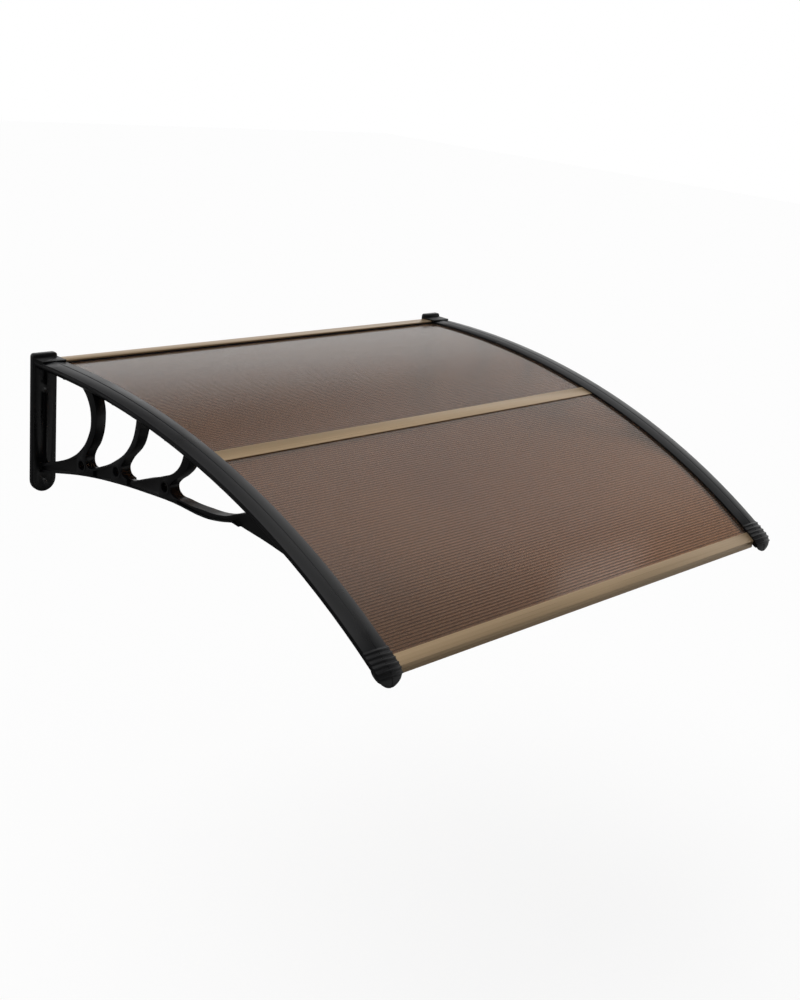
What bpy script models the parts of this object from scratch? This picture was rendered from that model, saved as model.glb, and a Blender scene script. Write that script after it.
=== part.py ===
# Door canopy: two moulded brackets carry two bronze twin-wall sheets on a bowed seat, between three
# aluminium rails. Metres, +Z up, and the wall is the plane Y = 0 with the canopy reaching out along -Y.
# The origin is the middle of the wall seal, where the rear rail meets the wall.
import math

import bmesh
import bpy
import numpy as np
from mathutils import Matrix

# Driving sizes of the whole
ARM_SPACING = 0.960          # between the crease lines of the two cover strips
CREASE_START = 0.0387        # from the wall to where the bow starts
CREASE_HEIGHT = 0.009        # of the bow's start above the origin
BOW_LENGTH = 0.8863          # along the crease, from the cover's rear end to the nose
SLOPE_AT_WALL = math.radians(-1.36)
SLOPE_AT_NOSE = math.radians(33.3)
BOW_TIGHTENING = 0.22        # share of the turn that comes late, towards the nose
BOW_STEPS = 26               # facets along the whole bow
CLEARANCE = 0.0003           # between pieces that touch

# Sheets and seals
PANEL_BELOW_CREASE = 0.0064
PANEL_THICKNESS = 0.005
PANEL_SKIN = 0.0006
FLUTE_PITCH = 0.0052
FLUTE_RIB = 0.0006
PANEL_REAR_EDGE = -0.0242    # distances along the bow
PANEL_FRONT_EDGE = BOW_LENGTH - 0.0048
PANEL_SIDE_GRIP = 0.0065     # past the crease line, under the cover
SEAL_THICKNESS = 0.0014
SEAL_INNER = 0.020
SEAL_OUTER = 0.002
WALL_SEAL_HEIGHT = 0.008

# Cover strip and nose cap
COVER_HALF_WIDTH = 0.022
CAP_HALF_WIDTH = 0.0230
ROOF_CROWN = 0.0023
COVER_WALL = 0.0018
COVER_LIP = 0.002
COVER_SIDE = 0.0027
CREASE_GROOVE_WIDTH = 0.0024
CREASE_GROOVE_DEPTH = 0.0012
CAP_START = BOW_LENGTH - 0.0293
CAP_WALL = 0.0029
NOSE_RADIUS = 0.0277
NOSE_TURNS = 6               # facets round the nose
NOSE_DROP = 0.0278           # of the nose's bottom below the bow's end
NOSE_TAB_RADIUS = CAP_HALF_WIDTH + 0.0002
BLOCK_TURN = 0.019           # how far round the nose the block behind its face reaches
BLOCK_FOOT = ((0.0012, 0.0189), (0.0050, 0.0210), (0.0090, 0.0172))  # its foot, on and down from there
RIDGE_PITCH = 0.0082
RIDGE_FIRST = 0.0255         # ridge nearest the wall, back from the start of the turn down
RIDGE_COUNT = 6
RIDGE_RADIUS = 0.0022
RIDGE_SINK = 0.0004          # of each ridge's middle line into the roof
POST_RADIUS = 0.0027
POST_ACROSS = -0.0105
COVER_SCREW_COUNT = 6
COVER_SCREW_FIRST = 0.050
COVER_SCREW_LAST = CAP_START - 0.070
CAP_SCREW_AT = CAP_START + 0.0085

# Bracket
PLATE_WIDTH = 0.047
PLATE_THICKNESS = 0.010
PLATE_TOP = 0.008            # above the bow's start
PLATE_BOTTOM = -0.2425
PLATE_CORNER = 0.005
PLATE_EDGE = 0.0025
PLATE_EDGE_STEPS = 3
WALL_HOLE_RADIUS = 0.0032
UPPER_HOLE = -0.054
LOWER_HOLE = -0.2197
RIB_THICKNESS = 0.003
RIB_DEPTH = 0.008
DRIVER_CLEARANCE = 0.0075
SEAT_THICKNESS = 0.003
SEAT_WALL = 0.0024
SEAT_SIDE_DROP = 0.0094
SEAT_SHOULDER = 0.007
SEAT_END = BOW_LENGTH - 0.0043
HOOD_INNER = PLATE_WIDTH / 2 - 0.0002
HOOD_TOP = 0.0012
HOOD_WALL = 0.0020
ARM_WIDTH = 0.019
ARM_WEB = 0.009
ARM_ROOT = 0.009             # where the arm starts, inside the plate
ARM_TOE = 0.705              # of the drawn outline, where its chord runs into the seat
RIM = 0.003
TUBE_RADIUS = 0.0115
TUBE_PROUD = 0.0006          # of each tube past the arm's sides
TUBE_BORE = 0.0083
TUBE_SIDES = 24
TUBES = ((0.1434, -0.1542), (0.2454, -0.1346), (0.3789, -0.1206))
LUG_THICKNESS = 0.003
LUG_HALF = 0.0045
FLUSH = 0.0002               # step between moulded faces that meet

# Rails
RAIL_WALL = 0.0014
RAIL_END_GAP = 0.0004
REAR_RAIL_TOP = -0.0015
REAR_RAIL_BACK = 0.006       # distances from the wall
REAR_RAIL_FRONT = 0.032
REAR_LIP = 0.0024
MIDDLE_RAIL_REAR = 0.4190
MIDDLE_RAIL_FRONT = MIDDLE_RAIL_REAR + 0.028
FRONT_RAIL_REAR = BOW_LENGTH - 0.0153
FRONT_RAIL_BREAK = BOW_LENGTH + 0.0047
FRONT_RAIL_DROP = 0.0197     # of the rail's foot below the bow's end
FRONT_RAIL_STEP = 0.0007
PORT_RADIUS = 0.0018
PORT_WALL = 0.0014
GASKET_WIDTH = 0.007
GASKET_PROUD = 0.0006

# Screws
SHANK_RADIUS = 0.0014
SCREW_HOLE = 0.0017
COVER_HEAD_RADIUS = 0.0030
RAIL_HEAD_RADIUS = 0.0026
HEAD_HEIGHT = 0.0018
COVER_SCREW_LENGTH = 0.0095
RAIL_SCREW_LENGTH = 0.012

# Outlines of the bracket's arm, as distance from the wall and height from the bow's start, drawn for a
# bow of DRAWN_BOW and stretched with it. A third value of 1 marks a corner, the rest is smooth.
DRAWN_BOW = 0.8863
CHORD_UNDERSIDE = ((0.009, -0.2060, 1), (0.066, -0.1908), (0.157, -0.1691), (0.2565, -0.1529),
                   (0.342, -0.1435), (0.403, -0.1386), (0.482, -0.1377), (0.519, -0.1316),
                   (0.548, -0.1239, 1), (0.5735, -0.1263), (0.616, -0.1297), (0.660, -0.1350),
                   (0.708, -0.1425, 1))
OPENINGS = (
    ((0.004, 0.010, 1), (0.118, 0.010, 1), (0.122, -0.008, 1), (0.157, -0.034), (0.1685, -0.070),
     (0.1593, -0.1017), (0.1415, -0.1255), (0.1137, -0.1470), (0.0656, -0.1692), (0.004, -0.1915, 1)),
    ((0.148, 0.010, 1), (0.296, 0.010, 1), (0.2965, -0.040), (0.280, -0.083), (0.238, -0.1195),
     (0.196, -0.1410), (0.1686, -0.1524), (0.1578, -0.1495), (0.1542, -0.1409), (0.156, -0.1315),
     (0.1745, -0.1028), (0.1833, -0.068), (0.1785, -0.0345), (0.155, -0.006, 1)),
    ((0.307, 0.010, 1), (0.424, 0.010, 1), (0.4235, -0.055), (0.4075, -0.0845), (0.3655, -0.1070),
     (0.326, -0.1225), (0.2672, -0.1370), (0.2585, -0.1265), (0.2635, -0.1135), (0.297, -0.075),
     (0.309, -0.040, 1)),
    ((0.441, 0.010, 1), (0.640, 0.010, 1), (0.598, -0.092, 1), (0.5587, -0.1071), (0.5305, -0.1186),
     (0.4747, -0.1266), (0.4242, -0.1288), (0.3975, -0.1262), (0.3914, -0.1152), (0.396, -0.1075),
     (0.4174, -0.0907), (0.4355, -0.0705), (0.4415, -0.050, 1)),
)
POCKETS = (
    ((0.014, -0.1940, 1), (0.0656, -0.1735), (0.108, -0.1545), (0.128, -0.1435, 1),
     (0.128, -0.1715, 1), (0.074, -0.1850), (0.014, -0.2000, 1)),
    ((0.178, -0.1535, 1), (0.205, -0.1415), (0.231, -0.1290, 1), (0.231, -0.1540, 1),
     (0.178, -0.1625, 1)),
    ((0.276, -0.1390, 1), (0.326, -0.1265), (0.3650, -0.1120, 1), (0.3650, -0.1385, 1),
     (0.276, -0.1475, 1)),
    ((0.412, -0.1318, 1), (0.4747, -0.1298), (0.5305, -0.1218), (0.566, -0.1068, 1),
     (0.720, -0.1000, 1), (0.720, -0.1700, 1), (0.548, -0.1209, 1), (0.519, -0.1286),
     (0.482, -0.1347), (0.412, -0.1355, 1)),
)


def slope(distance):
    """How steeply the bow falls at a distance along it."""
    t = min(max(distance / BOW_LENGTH, 0.0), 1.0)
    eased = t * (1 - BOW_TIGHTENING) + t * t * BOW_TIGHTENING
    return SLOPE_AT_WALL + (SLOPE_AT_NOSE - SLOPE_AT_WALL) * eased


def measure_bow():
    """The crease line as a fine table: distance, Y and Z."""
    fine = 1200
    distance = np.linspace(0.0, BOW_LENGTH, fine + 1)
    middle = (distance[1:] + distance[:-1]) / 2
    step = BOW_LENGTH / fine
    angle = np.array([slope(d) for d in middle])
    y = -CREASE_START - np.concatenate(([0.0], np.cumsum(np.cos(angle) * step)))
    z = CREASE_HEIGHT - np.concatenate(([0.0], np.cumsum(np.sin(angle) * step)))
    return distance, y, z


BOW_DISTANCE, BOW_Y, BOW_Z = measure_bow()


def bow(distance, out=0.0):
    """Y and Z at a distance along the bow and a height square to it; straight past both ends."""
    angle = slope(distance)
    held = min(max(distance, 0.0), BOW_LENGTH)
    y = float(np.interp(held, BOW_DISTANCE, BOW_Y)) - (distance - held) * math.cos(angle)
    z = float(np.interp(held, BOW_DISTANCE, BOW_Z)) - (distance - held) * math.sin(angle)
    return y - math.sin(angle) * out, z + math.cos(angle) * out


def bow_run(start, end, out):
    """Points along the bow between two distances, spaced as BOW_STEPS says."""
    count = max(1, math.ceil(abs(end - start) / BOW_LENGTH * BOW_STEPS))
    return [bow(start + (end - start) * i / count, out) for i in range(count + 1)]


def place(reach, height):
    """Y and Z of a point of the drawn outlines, which keep to the plate and stretch with the bow."""
    stretch = BOW_LENGTH / DRAWN_BOW
    return -ARM_ROOT - (reach - ARM_ROOT) * stretch, CREASE_HEIGHT + height * stretch


def across(side, inward):
    """X of a point of one arm, measured inward from its crease line; side is -1 left, 1 right."""
    return side * (ARM_SPACING / 2 - inward)


for old in list(bpy.data.objects):
    bpy.data.objects.remove(old, do_unlink=True)

PARTS = bpy.data.collections.new("door_canopy")
CUTTERS = bpy.data.collections.new("cutters")
bpy.context.scene.collection.children.link(PARTS)
bpy.context.scene.collection.children.link(CUTTERS)


def material(name, colour, roughness, metallic=0.0):
    """A Principled material with the colour given as linear red, green and blue."""
    made = bpy.data.materials.new(name)
    made.use_nodes = True
    shader = made.node_tree.nodes["Principled BSDF"]
    shader.inputs["Base Color"].default_value = (*colour, 1.0)
    shader.inputs["Roughness"].default_value = roughness
    shader.inputs["Metallic"].default_value = metallic
    made.diffuse_color = (*colour, 1.0)
    return made


def part(obj, name, colour, roughness, metallic=0.0):
    """Name a finished solid, give it its material and put it with the parts."""
    obj.name = name
    obj.data.name = name
    obj.data.materials.clear()
    obj.data.materials.append(material(name, colour, roughness, metallic))
    obj.hide_render = False
    obj.display_type = 'TEXTURED'
    CUTTERS.objects.unlink(obj)
    PARTS.objects.link(obj)
    return obj


def add_tool(obj):
    """Keep a guide or cutter out of the model."""
    CUTTERS.objects.link(obj)
    obj.hide_render = True
    obj.display_type = 'WIRE'
    return obj


def solid_from_curve(obj):
    """Turn a curve object into a closed mesh where it lies, and remove the curve."""
    bpy.context.view_layer.update()
    evaluated = obj.evaluated_get(bpy.context.evaluated_depsgraph_get())
    mesh = bpy.data.meshes.new_from_object(evaluated)
    mesh.transform(obj.matrix_world)
    shape = bmesh.new()
    shape.from_mesh(mesh)
    bmesh.ops.remove_doubles(shape, verts=shape.verts, dist=0.00001)
    bmesh.ops.recalc_face_normals(shape, faces=shape.faces)
    shape.to_mesh(mesh)
    shape.free()
    solid = add_tool(bpy.data.objects.new(obj.name, mesh))
    curve = obj.data
    bpy.data.objects.remove(obj)
    bpy.data.curves.remove(curve)
    return solid


def slab(name, outlines, x_from, x_to, smooth_steps=0):
    """Outlines in Y and Z, the first filled and the rest holes, made solid between two X values.

    With smooth_steps the knots are joined by smooth curves, apart from those marked as corners.
    """
    curve = bpy.data.curves.new(name, 'CURVE')
    curve.dimensions = '2D'
    curve.fill_mode = 'BOTH'
    curve.extrude = abs(x_to - x_from) / 2
    curve.resolution_u = max(1, smooth_steps)
    for outline in outlines:
        if smooth_steps:
            spline = curve.splines.new('BEZIER')
            spline.bezier_points.add(len(outline) - 1)
            for knot, point in zip(spline.bezier_points, outline):
                knot.co = (point[0], point[1], 0.0)
                kind = 'VECTOR' if len(point) > 2 else 'AUTO'
                knot.handle_left_type = kind
                knot.handle_right_type = kind
        else:
            spline = curve.splines.new('POLY')
            spline.points.add(len(outline) - 1)
            for knot, point in zip(spline.points, outline):
                knot.co = (point[0], point[1], 0.0, 1.0)
        spline.use_cyclic_u = True
    obj = bpy.data.objects.new(name, curve)
    bpy.context.scene.collection.objects.link(obj)
    turn = Matrix(((0, 0, 1, 0), (1, 0, 0, 0), (0, 1, 0, 0), (0, 0, 0, 1)))
    obj.matrix_world = Matrix.Translation(((x_from + x_to) / 2, 0, 0)) @ turn
    return solid_from_curve(obj)


def sweep(name, section, side, path):
    """Carry a section, given as inward distance and height, along Y and Z points of a path."""
    shape = bpy.data.curves.new(name + "_section", 'CURVE')
    shape.dimensions = '2D'
    ring = shape.splines.new('POLY')
    ring.points.add(len(section) - 1)
    for knot, (inward, height) in zip(ring.points, section):
        knot.co = (side * inward, height, 0.0, 1.0)
    ring.use_cyclic_u = True
    guide = bpy.data.objects.new(name + "_section", shape)
    bpy.context.scene.collection.objects.link(guide)
    curve = bpy.data.curves.new(name, 'CURVE')
    curve.dimensions = '3D'
    curve.twist_mode = 'MINIMUM'
    curve.bevel_mode = 'OBJECT'
    curve.bevel_object = guide
    curve.use_fill_caps = True
    line = curve.splines.new('POLY')
    line.points.add(len(path) - 1)
    for knot, (y, z) in zip(line.points, path):
        knot.co = (across(side, 0.0), y, z, 1.0)
    obj = bpy.data.objects.new(name, curve)
    bpy.context.scene.collection.objects.link(obj)
    solid = solid_from_curve(obj)
    bpy.data.objects.remove(guide)
    bpy.data.curves.remove(shape)
    return solid


def box(name, x_pair, y_pair, z_pair):
    """A block between two corners."""
    bpy.ops.mesh.primitive_cube_add(size=1.0)
    obj = bpy.context.active_object
    obj.name = name
    spans = (x_pair, y_pair, z_pair)
    size = Matrix.Diagonal([abs(b - a) for a, b in spans] + [1.0])
    centre = Matrix.Translation([(a + b) / 2 for a, b in spans])
    obj.data.transform(centre @ size)
    bpy.context.collection.objects.unlink(obj)
    return add_tool(obj)


def rod(name, radius, start, end, sides=16):
    """A round bar between two points."""
    bpy.ops.mesh.primitive_cylinder_add(vertices=sides, radius=radius, depth=1.0)
    obj = bpy.context.active_object
    obj.name = name
    a = np.array(start)
    b = np.array(end)
    length = float(np.linalg.norm(b - a))
    axis = (b - a) / length
    helper = np.array((1.0, 0.0, 0.0)) if abs(axis[0]) < 0.9 else np.array((0.0, 1.0, 0.0))
    u = np.cross(helper, axis)
    u /= np.linalg.norm(u)
    v = np.cross(axis, u)
    middle = (a + b) / 2
    rows = [[u[i], v[i], axis[i] * length, middle[i]] for i in range(3)]
    obj.data.transform(Matrix(rows + [[0, 0, 0, 1]]))
    bpy.context.collection.objects.unlink(obj)
    return add_tool(obj)


def joined(name, pieces):
    """Separate solids held in one object."""
    shape = bmesh.new()
    for piece in pieces:
        shape.from_mesh(piece.data)
        bpy.data.objects.remove(piece)
    mesh = bpy.data.meshes.new(name)
    shape.to_mesh(mesh)
    shape.free()
    return add_tool(bpy.data.objects.new(name, mesh))


def combine(obj, others, operation):
    """Union with, or difference from, each of the other solids, as live modifiers."""
    for other in others:
        step = obj.modifiers.new(operation.lower() + "_" + other.name, 'BOOLEAN')
        step.operation = operation
        step.solver = 'EXACT'
        step.object = other
    return obj


BLACK = (0.012, 0.012, 0.013)
RUBBER = (0.006, 0.006, 0.006)
CHAMPAGNE = (0.42, 0.31, 0.20)
BRONZE = (0.075, 0.040, 0.026)
STEEL = (0.55, 0.55, 0.56)

SEAT_TOP = -(PANEL_BELOW_CREASE + PANEL_THICKNESS + CLEARANCE + SEAL_THICKNESS + CLEARANCE)
SEAT_UNDER = SEAT_TOP - SEAT_THICKNESS
SLOT_TOP = -PANEL_BELOW_CREASE + CLEARANCE
SLOT_UNDER = -PANEL_BELOW_CREASE - PANEL_THICKNESS - CLEARANCE
COVER_UNDER = -ROOF_CROWN - COVER_SIDE
SEAT_WALL_TOP = COVER_UNDER - CLEARANCE
PORT_HEIGHT = SEAT_UNDER - CLEARANCE - RAIL_HEAD_RADIUS - CLEARANCE
REAR_RAIL_HALF = ARM_SPACING / 2 - PLATE_WIDTH / 2 - CLEARANCE
MIDDLE_RAIL_HALF = ARM_SPACING / 2 - COVER_HALF_WIDTH - RAIL_END_GAP
FRONT_RAIL_HALF = ARM_SPACING / 2 - CAP_HALF_WIDTH - RAIL_END_GAP
HOOD_FRONT = CREASE_START - CLEARANCE
PORT_HALF = PORT_RADIUS + PORT_WALL
REAR_PORT_AT = PLATE_THICKNESS + CLEARANCE + PORT_HALF - CREASE_START
MIDDLE_PORT_AT = (MIDDLE_RAIL_REAR + MIDDLE_RAIL_FRONT) / 2
FRONT_PORT_AT = FRONT_RAIL_REAR + PORT_HALF
PORTS = (REAR_PORT_AT, MIDDLE_PORT_AT, FRONT_PORT_AT)
COVER_SCREWS_AT = tuple(COVER_SCREW_FIRST + (COVER_SCREW_LAST - COVER_SCREW_FIRST) * i / (COVER_SCREW_COUNT - 1)
                        for i in range(COVER_SCREW_COUNT))


def screw(name, head_radius, length, under_head, direction):
    """A pan-head screw; its head's underside lies at a point and its shank runs in a direction."""
    start = np.array(under_head)
    along = np.array(direction) / np.linalg.norm(direction)
    head = rod(name + "_head", head_radius, start - along * HEAD_HEIGHT, start, 12)
    shank = rod(name + "_shank", SHANK_RADIUS, start - along * HEAD_HEIGHT / 2, start + along * length, 10)
    combine(head, [shank], 'UNION')
    bpy.context.view_layer.update()
    mesh = bpy.data.meshes.new_from_object(head.evaluated_get(bpy.context.evaluated_depsgraph_get()))
    bpy.data.objects.remove(head)
    bpy.data.objects.remove(shank)
    return add_tool(bpy.data.objects.new(name, mesh))


def bow_axis(side, inward, distance, low, high):
    """Two points square to the bow, between two heights."""
    ends = [bow(distance, out) for out in (low, high)]
    return [(across(side, inward), y, z) for y, z in ends]


def seat(side):
    """The bowed seat of one bracket: a floor, a sloping shoulder and a low outer wall."""
    outer = -COVER_HALF_WIDTH
    section = ((outer, SEAT_WALL_TOP), (outer, -SEAT_SIDE_DROP), (outer + SEAT_SHOULDER, SEAT_UNDER),
               (COVER_HALF_WIDTH, SEAT_UNDER), (COVER_HALF_WIDTH, SEAT_TOP),
               (outer + SEAT_SHOULDER + COVER_WALL / 2, SEAT_TOP),
               (outer + SEAT_WALL, SEAT_WALL_TOP - SEAT_WALL), (outer + SEAT_WALL, SEAT_WALL_TOP))
    start = CLEARANCE + PLATE_THICKNESS / 2 - CREASE_START
    path = bow_run(start, 0.0, 0.0) + bow_run(0.0, SEAT_END, 0.0)[1:]
    return sweep("seat", section, side, path)


def wall_plate(side):
    """The plate that is screwed to the wall: round at the bottom, with soft upper corners."""
    radius = PLATE_WIDTH / 2
    round_z = CREASE_HEIGHT + PLATE_BOTTOM + radius
    top = CREASE_HEIGHT + PLATE_TOP
    middle = across(side, 0.0)
    outline = []
    for i in range(17):
        angle = math.pi + math.pi * i / 16
        outline.append((middle + radius * math.cos(angle), round_z + radius * math.sin(angle)))
    for corner, first in ((1, 0.0), (-1, math.pi / 2)):
        for i in range(5):
            angle = first + math.pi / 2 * i / 4
            outline.append((middle + corner * (radius - PLATE_CORNER) + PLATE_CORNER * math.cos(angle),
                            top - PLATE_CORNER + PLATE_CORNER * math.sin(angle)))
    shape = bmesh.new()
    face = shape.faces.new([shape.verts.new((x, 0.0, z)) for x, z in outline])
    grown = bmesh.ops.extrude_face_region(shape, geom=[face])
    moved = [v for v in grown["geom"] if isinstance(v, bmesh.types.BMVert)]
    bmesh.ops.translate(shape, verts=moved, vec=(0.0, -PLATE_THICKNESS, 0.0))
    bmesh.ops.recalc_face_normals(shape, faces=shape.faces)
    front = [e for e in shape.edges if all(v.co.y < -PLATE_THICKNESS / 2 for v in e.verts)]
    bmesh.ops.bevel(shape, geom=front, offset=PLATE_EDGE, segments=PLATE_EDGE_STEPS, profile=0.5, affect='EDGES',
                    material=-1)
    mesh = bpy.data.meshes.new("plate")
    shape.to_mesh(mesh)
    shape.free()
    return add_tool(bpy.data.objects.new("plate", mesh))


def plate_rib(side):
    """The stiffening rib down the middle of the plate, broken round the upper screw for a driver."""
    x = [across(side, inward) for inward in (-RIB_THICKNESS / 2, RIB_THICKNESS / 2)]
    depth = (-PLATE_THICKNESS - RIB_DEPTH, -PLATE_THICKNESS / 2)
    below = CREASE_HEIGHT + UPPER_HOLE - DRIVER_CLEARANCE
    above = CREASE_HEIGHT + UPPER_HOLE + DRIVER_CLEARANCE
    foot = place(*OPENINGS[0][-1][:2])[1] - RIM
    head = CREASE_HEIGHT + SEAT_UNDER + SEAT_THICKNESS / 2
    return [box("rib_low", x, depth, (foot, below)), box("rib_high", x, depth, (above, head))]


def hood(side):
    """The cover at the wall end, moulded on the bracket; the rear rail ends at its inner wall."""
    outer = -COVER_HALF_WIDTH + FLUSH
    back = -PLATE_THICKNESS + CLEARANCE
    top = CREASE_HEIGHT + HOOD_TOP
    under = top - HOOD_WALL
    inside = (under + top) / 2
    roof = box("hood_roof", [across(side, outer), across(side, HOOD_INNER)], (-HOOD_FRONT, back), (under, top))
    outer_wall = box("hood_outer", [across(side, outer + FLUSH), across(side, outer + SEAT_WALL - FLUSH * 2)],
                     (-HOOD_FRONT + FLUSH, back + FLUSH), (CREASE_HEIGHT + SEAT_WALL_TOP - SEAT_WALL, inside))
    inner_wall = box("hood_inner", [across(side, HOOD_INNER - HOOD_WALL), across(side, HOOD_INNER - FLUSH)],
                     (-HOOD_FRONT + FLUSH, back + FLUSH), (CREASE_HEIGHT + SLOT_TOP, inside))
    return [roof, outer_wall, inner_wall]


def lugs(side):
    """Ears under the seat that take the rails' end screws."""
    made = []
    x_pair = [across(side, COVER_HALF_WIDTH - LUG_THICKNESS), across(side, COVER_HALF_WIDTH - FLUSH)]
    low = PORT_HEIGHT - LUG_HALF
    for name, at in zip(("rear", "middle", "front"), PORTS):
        outline = [bow(at - LUG_HALF, SEAT_UNDER + SEAT_THICKNESS / 2), bow(at - LUG_HALF, low),
                   bow(at + LUG_HALF, low), bow(at + LUG_HALF, SEAT_UNDER + SEAT_THICKNESS / 2)]
        made.append(slab("lug_" + name, [outline], *x_pair))
    return made


def arm_outline():
    """The arm's side view: the chord's underside, closed along the middle of the seat's floor."""
    lower = [(*place(reach, height), *mark) for reach, height, *mark in CHORD_UNDERSIDE]
    inside = (SEAT_TOP + SEAT_UNDER) / 2
    upper = [(y, z, 1) for y, z in bow_run(ARM_TOE * BOW_LENGTH / DRAWN_BOW, 0.0, inside)]
    upper.append((-ARM_ROOT, CREASE_HEIGHT + inside, 1))
    return lower + upper


def arm_cuts(side):
    """Openings, side pockets and tube bores that are cut from the arm."""
    beyond = ARM_WIDTH
    pieces = []
    for outline in OPENINGS:
        knots = [(*place(reach, height), *mark) for reach, height, *mark in outline]
        pieces.append(slab("opening", [knots], across(side, -beyond), across(side, beyond), 5))
    pockets = []
    for face in (-1, 1):
        ends = sorted((across(side, face * ARM_WEB / 2), across(side, face * beyond)))
        for outline in POCKETS:
            knots = [(*place(reach, height), *mark) for reach, height, *mark in outline]
            pockets.append(slab("pocket", [knots], *ends, 3))
    bores = []
    for at in TUBES:
        y, z = place(*at)
        bores.append(rod("bore", (TUBE_RADIUS + TUBE_BORE) / 2, (across(side, -beyond), y, z),
                         (across(side, beyond), y, z), TUBE_SIDES))
    return [joined("openings", pieces), joined("pockets", pockets), joined("bores", bores)]


def tubes(side):
    """The short tubes through the arm, standing a little past its sides."""
    half = ARM_WIDTH / 2 + TUBE_PROUD
    made = []
    for at in TUBES:
        y, z = place(*at)
        turns = [2 * math.pi * (i + 0.5) / TUBE_SIDES for i in range(TUBE_SIDES)]
        rings = [[(y + radius * math.cos(turn), z + radius * math.sin(turn)) for turn in turns]
                 for radius in (TUBE_RADIUS, TUBE_BORE)]
        made.append(slab("tube", rings, across(side, -half), across(side, half)))
    return joined("tubes", made)


def bracket(side, name):
    """One moulded bracket: arm with three scrolls, wall plate, seat, hood and rail lugs."""
    half = ARM_WIDTH / 2
    arm = slab("arm", [arm_outline()], across(side, -half), across(side, half), 4)
    combine(arm, arm_cuts(side), 'DIFFERENCE')
    combine(arm, [tubes(side), seat(side), wall_plate(side)] + plate_rib(side) + hood(side) + lugs(side), 'UNION')
    holes = []
    middle = across(side, 0.0)
    for height in (UPPER_HOLE, LOWER_HOLE):
        z = CREASE_HEIGHT + height
        holes.append(rod("wall_hole", WALL_HOLE_RADIUS, (middle, PLATE_THICKNESS, z),
                         (middle, -PLATE_THICKNESS - RIB_DEPTH * 2, z), 16))
    for at in COVER_SCREWS_AT + (CAP_SCREW_AT,):
        ends = bow_axis(side, POST_ACROSS, at, SEAT_UNDER - SEAT_THICKNESS, SEAT_TOP + SEAT_THICKNESS)
        holes.append(rod("seat_hole", SCREW_HOLE, *ends, 12))
    for at in PORTS:
        y, z = bow(at, PORT_HEIGHT)
        holes.append(rod("lug_hole", SCREW_HOLE, (across(side, COVER_HALF_WIDTH - LUG_THICKNESS * 2), y, z),
                         (across(side, COVER_HALF_WIDTH + LUG_THICKNESS), y, z), 12))
    combine(arm, [joined("holes", holes)], 'DIFFERENCE')
    return part(arm, name, BLACK, 0.42)


def roof_section(half, wall, outer_drop, lip_drop):
    """A shallow roof with a groove along its crease, an inner lip and an outer side."""
    fall = ROOF_CROWN / half
    edge = CREASE_GROOVE_WIDTH / 2
    inside = half - COVER_LIP
    return ((-half, -ROOF_CROWN), (-edge, -edge * fall), (0.0, -CREASE_GROOVE_DEPTH), (edge, -edge * fall),
            (half, -ROOF_CROWN), (half, lip_drop), (inside, lip_drop), (inside, -wall - inside * fall),
            (0.0, -wall), (-inside, -wall - inside * fall), (-inside, outer_drop), (-half, outer_drop))


def posts(side, places):
    """Posts that hang from a roof down to the seat, and the screw holes up into them."""
    bars = []
    holes = []
    for at in places:
        top = -COVER_WALL / 2 - abs(POST_ACROSS) * ROOF_CROWN / COVER_HALF_WIDTH
        bars.append(rod("post", POST_RADIUS, *bow_axis(side, POST_ACROSS, at, SEAT_TOP + CLEARANCE, top), 14))
        holes.append(rod("post_hole", SCREW_HOLE,
                         *bow_axis(side, POST_ACROSS, at, SEAT_TOP - SEAT_THICKNESS, top - COVER_WALL * 1.5), 12))
    return joined("posts", bars), joined("post_holes", holes)


def cover_strip(side, name):
    """The long strip screwed down over the seat and the edges of both sheets."""
    section = roof_section(COVER_HALF_WIDTH, COVER_WALL, COVER_UNDER, SLOT_TOP)
    strip = sweep("strip", section, side, bow_run(CLEARANCE, CAP_START - CLEARANCE, 0.0))
    bars, holes = posts(side, COVER_SCREWS_AT)
    combine(strip, [bars], 'UNION')
    combine(strip, [holes], 'DIFFERENCE')
    return part(strip, name, BLACK, 0.38)


def nose_path():
    """The cap's run: along the bow, round the nose and straight down its front face."""
    path = bow_run(CAP_START, BOW_LENGTH, 0.0)
    y, z = path[-1]
    centre = (y + NOSE_RADIUS * math.sin(SLOPE_AT_NOSE), z - NOSE_RADIUS * math.cos(SLOPE_AT_NOSE))
    for i in range(1, NOSE_TURNS + 1):
        angle = SLOPE_AT_NOSE + (math.pi / 2 - SLOPE_AT_NOSE) * i / NOSE_TURNS
        path.append((centre[0] - NOSE_RADIUS * math.sin(angle), centre[1] + NOSE_RADIUS * math.cos(angle)))
    path.append((path[-1][0], z - NOSE_DROP))
    return path


def along_nose(distance):
    """Y, Z and slope at a distance on from the start of the turn; negative on the bow."""
    if distance <= 0:
        y, z = bow(BOW_LENGTH + distance)
        return y, z, slope(BOW_LENGTH + distance)
    angle = min(SLOPE_AT_NOSE + distance / NOSE_RADIUS, math.pi / 2)
    y, z = bow(BOW_LENGTH)
    y += NOSE_RADIUS * (math.sin(SLOPE_AT_NOSE) - math.sin(angle))
    z += NOSE_RADIUS * (math.cos(angle) - math.cos(SLOPE_AT_NOSE))
    return y, z, angle


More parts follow.
